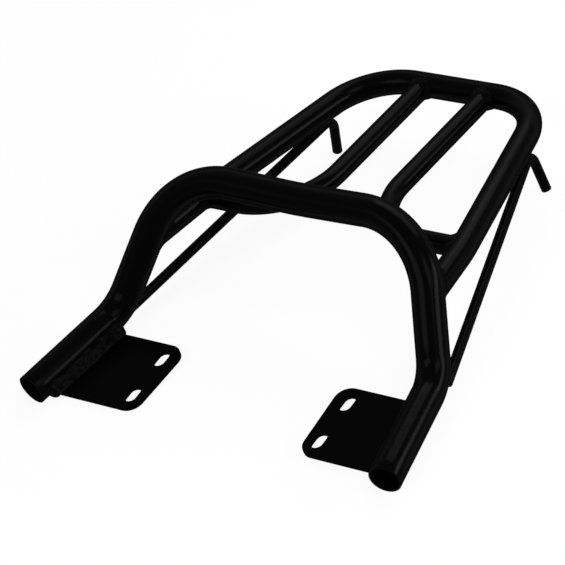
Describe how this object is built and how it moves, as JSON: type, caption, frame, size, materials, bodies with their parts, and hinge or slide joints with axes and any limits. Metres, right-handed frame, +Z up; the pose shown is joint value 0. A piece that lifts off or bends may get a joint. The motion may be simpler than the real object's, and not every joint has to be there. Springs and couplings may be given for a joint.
{
  "type": "motorcycle luggage rack",
  "caption": "Black welded tube rear luggage rack for a motorcycle, with a grab hoop, slotted mounting plates and strap hooks.",
  "frame": {"origin": "middle of the footprint, at the height of the hooks' lowest point", "axes": "+X to the rider's left across the rack, +Y to the rear of the motorcycle, +Z up, with the mounting plates level"},
  "size_m": [0.3526, 0.3887, 0.1204],
  "materials": {
    "black_paint": "satin black powder coat"
  },
  "bodies": {
    "root": {"hoop_tube": "black_paint", "platform_tube": "black_paint", "slat_left": "black_paint", "slat_right": "black_paint", "plate_left": "black_paint", "plate_right": "black_paint", "stay_left": "black_paint", "stay_right": "black_paint", "weld_leg_left": "black_paint", "weld_leg_right": "black_paint", "weld_rear_left": "black_paint", "weld_rear_right": "black_paint", "weld_rail_left": "black_paint", "weld_rail_right": "black_paint", "weld_plate_left": "black_paint", "weld_plate_right": "black_paint", "weld_stay_foot_left": "black_paint", "weld_stay_foot_right": "black_paint", "weld_stay_seat_left": "black_paint", "weld_stay_seat_right": "black_paint"}
  },
  "joints": []
}
